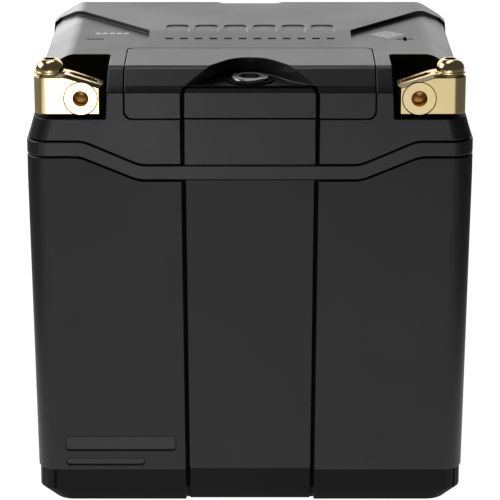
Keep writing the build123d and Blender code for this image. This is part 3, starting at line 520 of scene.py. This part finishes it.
def narrow(face, mesh):
    corners = [mesh.vertices[i].co for i in face.vertices]
    longest = max((a - b).length for a, b in zip(corners, corners[1:] + corners[:1]))
    return face.area < GROOVE_WIDTH * MM * longest


# paints shade on narrow faces that other walls close in
def paint_recess_shade(pieces):
    tree = outer_surfaces(pieces)
    for piece in pieces:
        mesh = piece.data
        finish_faces(piece, RECESS_SHADE, lambda face: narrow(face, mesh) and closed_in(face, tree))


# ---- areas with a finish of their own, most of them painted shade or light -----
def foot_face(face):
    """Underside, and outer faces below the step above the foot, which take painted shade."""
    outward = face.normal.x * face.center.x + face.normal.y * face.center.y > 0
    return face.center.z < MM or (outward and face.center.z < BASE_STEP_Z * MM)


def foot_bevel_face(face):
    return foot_face(face) and face.normal.z < DOWNWARD


def belt_face(face):
    """Upright faces above the groove under the belt, which dips towards the middle; they take painted light.
    """
    dip = (BELT_BEND_OUT - abs(face.center.x) / MM) / (BELT_BEND_OUT - BELT_BEND_IN)
    groove_z = BELT_Z - (BELT_Z - BELT_DIP_Z) * min(1.0, max(0.0, dip))
    return face.center.z > groove_z * MM and abs(face.normal.z) < UPRIGHT


def front_bar_face(face):
    """Floors of the two bars sunk low in the leaning front wall."""
    x, y, z = face.center / MM
    lean = DRAFT * (z - BASE_STEP_Z) / (BELT_DIP_Z - BASE_STEP_Z)
    sunk = y - (DRAFT - HALF_Y - lean)
    return face.normal.y < -0.9 and FRONT_BARS_X[0] < x < FRONT_BARS_X[1] \
        and FRONT_BARS_Z[0] < z < FRONT_BARS_Z[1] and FRONT_BARS_DEPTH[0] < sunk < FRONT_BARS_DEPTH[1]


def ramp_face(face):
    """The slight slope between the wings of the lid's raised rear cap, which takes a painted sheen."""
    return RAMP_Y[0] < face.normal.y < RAMP_Y[1] and face.normal.z > RAMP_Z and face.center.z > LID_EDGE * MM


def pocket_face(face):
    """Walls and floors of the pockets round the terminals, which take painted shade."""
    x, y, z = face.center / MM
    return abs(x) > POCKET_X and y < POCKET_Y and POCKET_FLOOR[0] < z < LID_EDGE \
        and (abs(face.normal.z) < UPRIGHT or z < POCKET_FLOOR[1])


def notch_face(face):
    """Walls and floor of the trim plate's screw notch, but not the plate's own front; they take painted
    shade.
    """
    x, y, z = face.center / MM
    return abs(x) < NOTCH_X and y < NOTCH_Y and NOTCH_FLOOR[0] < z < LID_EDGE \
        and (abs(face.normal.z) < UPRIGHT or z < NOTCH_FLOOR[1]) and face.normal.y > -UPRIGHT


def on_polarity_mark(place):
    """Whether a place in mm is at the sunk minus or plus, whose edges stay sharp."""
    return POLARITY_X[0] < abs(place.x) < POLARITY_X[1] and POLARITY_Y[0] < place.y < POLARITY_Y[1] \
        and place.z > POLARITY_Z


def from_nut_axis(face):
    """Distance in mm from the axis of the terminal's nut, on either side."""
    return math.hypot(abs(face.center.x) / MM - BORE_X, face.center.z / MM - BORE_Z)


# faces of the nut's seat, which take painted shade
def seat_wall(face):
    return from_nut_axis(face) < SEAT_R and abs(face.normal.y) < AROUND_Y and face.center.y < SEAT_Y * MM


# faces of the bore, which take painted shade
def bore_wall(face):
    return from_nut_axis(face) < BORE_R and BORE_Y[0] < face.center.y / MM < BORE_Y[1]


def front_chamfer(face):
    """Slope between the front and the top of a terminal block, which takes painted shade."""
    return CHAMFER_Y[0] < face.normal.y < CHAMFER_Y[1] and face.normal.z > CHAMFER_Z \
        and face.center.y < BLOCK_FRONT_Y * MM


# faces of the nut's rim, which take painted shade
def nut_rim(face):
    return from_nut_axis(face) > NUT_RIM_R and abs(face.normal.y) < AROUND_Y


# faces of a screw's key socket, which take painted shade
def key_socket(face):
    x, y, z = face.center / MM
    return math.hypot(abs(x) - SCREW_X, y - SCREW_Y) < SOCKET_R and SOCKET_Z[0] < z < SOCKET_Z[1]


# ---- the outer parts -----------------------------------------------------------
def moulded_parts():
    """Tub, lid and trim plate, with their smoother areas and their painted shade, sheen and light."""
    case = merged_copy("case_tub", "moulded_case", "battery", weld_height=FOOT_BEVEL_UP)
    lid = merged_copy("lid_cover", "moulded_lid", "battery")
    trim = merged_copy("front_trim_plate", "moulded_trim_plate", "trim_plate")
    # painted shade on the foot band and the underside
    finish_faces(case, FOOT_SHADE_PLASTIC, foot_face)
    # painted shade on the bevel under the foot, which faces the shadowed floor
    finish_faces(case, RECESS_SHADE, foot_bevel_face)
    # painted light: the belt takes the lid's lighter, glossier finish for the light the upright band catches
    finish_faces(case, MATERIALS["lid_plastic"], belt_face)
    # painted shade in the pockets
    finish_faces(lid, POCKET_SHADE_PLASTIC, pocket_face)
    # painted sheen on the ramp
    finish_faces(lid, RAMP_SHEEN_PLASTIC, ramp_face)
    # painted shade in the notch
    finish_faces(trim, POCKET_SHADE_PLASTIC, notch_face)
    paint_recess_shade([case, lid, trim])
    finish_faces(case, MARK_PLASTIC, front_bar_face)
    soften(case, 0.35)
    soften(lid, 0.25, skip=on_polarity_mark)
    soften(trim, 0.2)


def brass_terminal(name):
    """Terminal block with eased edges, painted shade on its front chamfer and nut seat, and its bore painted
    a deeper, shaded gold.
    """
    piece = merged_copy("terminal_" + name, name + "_terminal_block", "battery")
    # painted shade on the front chamfer
    finish_faces(piece, CHAMFER_SHADE_BRASS, front_chamfer)
    # painted shade in the gap round the nut
    finish_faces(piece, RECESS_SHADE, seat_wall)
    # painted shade in the bore
    finish_faces(piece, BORE_SHADE_BRASS, bore_wall)
    soften(piece, 0.12, angle=20)


def brass_nut(name):
    """Round nut, its rim painted with the shade of the seat."""
    piece = merged_copy("terminal_nut_" + name, name + "_terminal_nut", "battery")
    # painted shade on the nut's rim
    finish_faces(piece, RECESS_SHADE, nut_rim)
    soften(piece, 0.04)


def domed_screw(name):
    """Screw with its key socket in painted shade, and its washer."""
    screw = merged_copy("terminal_screw_" + name, name + "_dome_screw", name + "_screw")
    finish_faces(screw, SOCKET_SHADE_BRASS, key_socket)
    soften(screw, 0.12, angle=24)
    washer = merged_copy("terminal_washer_" + name, name + "_dome_washer", name + "_washer")
    soften(washer, 0.1)


def trim_fastening():
    """Cap screw of the trim plate, and its washer painted with the shade of the notch."""
    screw = merged_copy("trim_plate_screw", "cap_screw", "trim_screw")
    soften(screw, 0.12, angle=24)
    washer = merged_copy("trim_screw_washer", "cap_washer", "trim_washer")
    # the whole washer takes painted shade
    washer.data.materials[0] = RECESS_SHADE
    soften(washer, 0.1)


# ---- printed marks on the lid, in mm -------------------------------------------
PRINT_T = 0.05


def printed_mark(name, outline):
    """White print on the lid's top with this four-cornered outline."""
    mesh = bpy.data.meshes.new(name)
    mesh.from_pydata([Vector((x, y, LID_TOP)) * MM for x, y in outline], [], [(0, 1, 2, 3)])
    mesh.materials.append(PRINT_WHITE)
    piece = bpy.data.objects.new(name, mesh)
    bpy.context.scene.collection.objects.link(piece)
    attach(piece, "battery")
    return piece


def repeated(piece, step_x, step_y, count):
    array = piece.modifiers.new("row", "ARRAY")
    array.use_relative_offset = False
    array.use_constant_offset = True
    array.constant_offset_displace = Vector((step_x, step_y, 0)) * MM
    array.count = count


def thickened(piece):
    plate = piece.modifiers.new("thickness", "SOLIDIFY")
    plate.thickness = PRINT_T * MM
    plate.offset = 0.0


def printed_bars():
    """Row of short slanting bars beside the left wing."""
    x, y = -60.4, -0.6
    width, high, slant = 1.9, 2.3, 0.7
    pitch, count = 2.7, 5
    outline = [(x, y), (x + width, y), (x + width + slant, y + high), (x + slant, y + high)]
    piece = printed_mark("printed_bars", outline)
    repeated(piece, pitch, 0, count)
    thickened(piece)


def printed_dots():
    """Plain lattice of square dots turned on its corner, beside the right wing."""
    x, y, half = 53.5, -7.4, 0.72
    pitch, count = 1.0, 7
    piece = printed_mark("printed_dots", [(x, y - half), (x + half, y), (x, y + half), (x - half, y)])
    repeated(piece, pitch, pitch, count)
    repeated(piece, -pitch, pitch, count)
    thickened(piece)


# ---- the scene -----------------------------------------------------------------
moulded_parts()
for side in ("negative", "positive"):
    brass_terminal(side)
    brass_nut(side)
    domed_screw(side)
trim_fastening()
printed_bars()
printed_dots()

add_camera()
add_floor()
add_world()
add_area_light("backdrop", (-0.3, 1.6, 0.75), (0, 0, 0.15), (3.4, 1.7), 21)
add_area_light("left back card", (-0.5, 1.55, 0.33), (-0.07, 0, 0.17), (0.5, 0.4), 1.2)
add_area_light("overhead softbox", (-0.05, 0.05, 1.25), (0, 0.0, 0.17), (0.9, 0.35), 2.4)
add_area_light("left softbox", (-1.15, 0.05, 0.75), (0, 0, 0.14), (0.8, 0.7), 8)
bpy.context.scene.view_settings.view_transform = "Standard"
